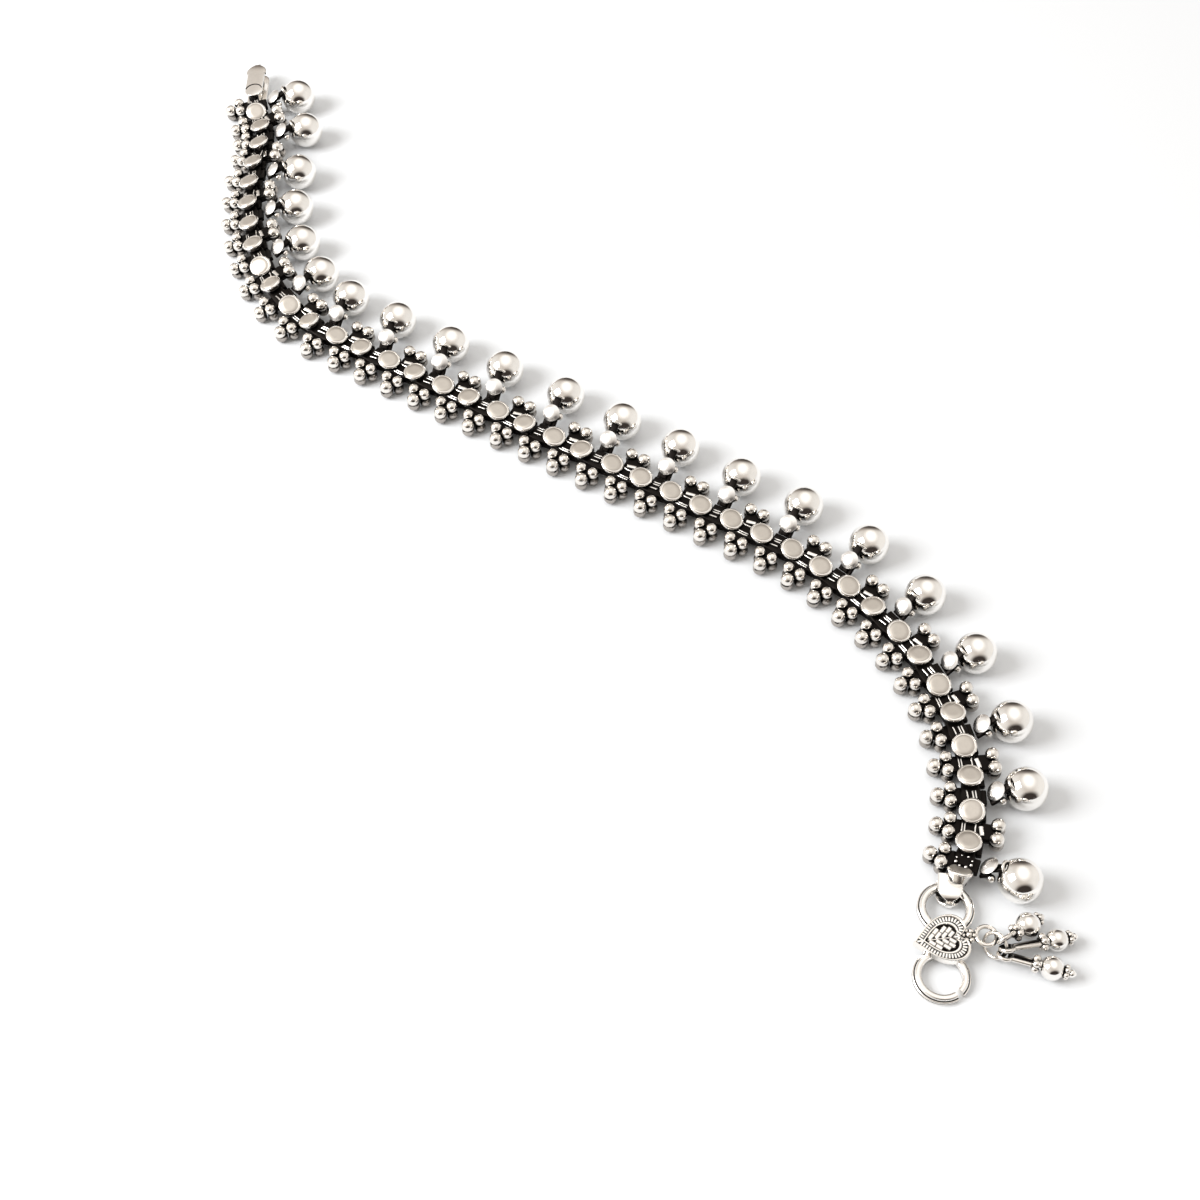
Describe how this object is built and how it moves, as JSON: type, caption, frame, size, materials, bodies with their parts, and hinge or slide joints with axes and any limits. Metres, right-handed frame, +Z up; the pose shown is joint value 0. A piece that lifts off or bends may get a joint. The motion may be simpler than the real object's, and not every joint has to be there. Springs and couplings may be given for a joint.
{
  "type": "anklet",
  "caption": "Silver anklet laid open in an S: a chain of round buttons and granules with a row of ball drops, a folded bail, and a double-ring hook with a heart plate and charms.",
  "frame": {"origin": "middle of the bounding box at the surface that the anklet lies on", "axes": "+Z up from the surface; +Y along the anklet's longest extent, from the clasp towards the free end with the folded bail; +X to the side that the ball drops lie on"},
  "size_m": [0.1476, 0.2138, 0.0069],
  "materials": {
    "oxidised_silver": "satin silver with dark oxidised recesses",
    "bright_silver": "polished silver"
  },
  "bodies": {
    "root": {"chain_upper": "oxidised_silver", "chain_lower": "oxidised_silver", "drop_01": "bright_silver", "drop_02": "bright_silver", "drop_03": "bright_silver", "drop_04": "bright_silver", "drop_05": "bright_silver", "drop_06": "bright_silver", "drop_07": "bright_silver", "drop_08": "bright_silver", "drop_09": "bright_silver", "drop_10": "bright_silver", "drop_11": "bright_silver", "drop_12": "bright_silver", "drop_13": "bright_silver", "drop_14": "bright_silver", "drop_15": "bright_silver", "drop_16": "bright_silver", "drop_17": "bright_silver", "drop_18": "bright_silver", "drop_19": "bright_silver", "drop_20": "bright_silver", "drop_21": "bright_silver", "start_bail": "bright_silver", "clasp_hook": "bright_silver", "charm_ring": "bright_silver", "charm_1": "bright_silver", "charm_2": "bright_silver", "charm_3": "bright_silver"}
  },
  "joints": []
}
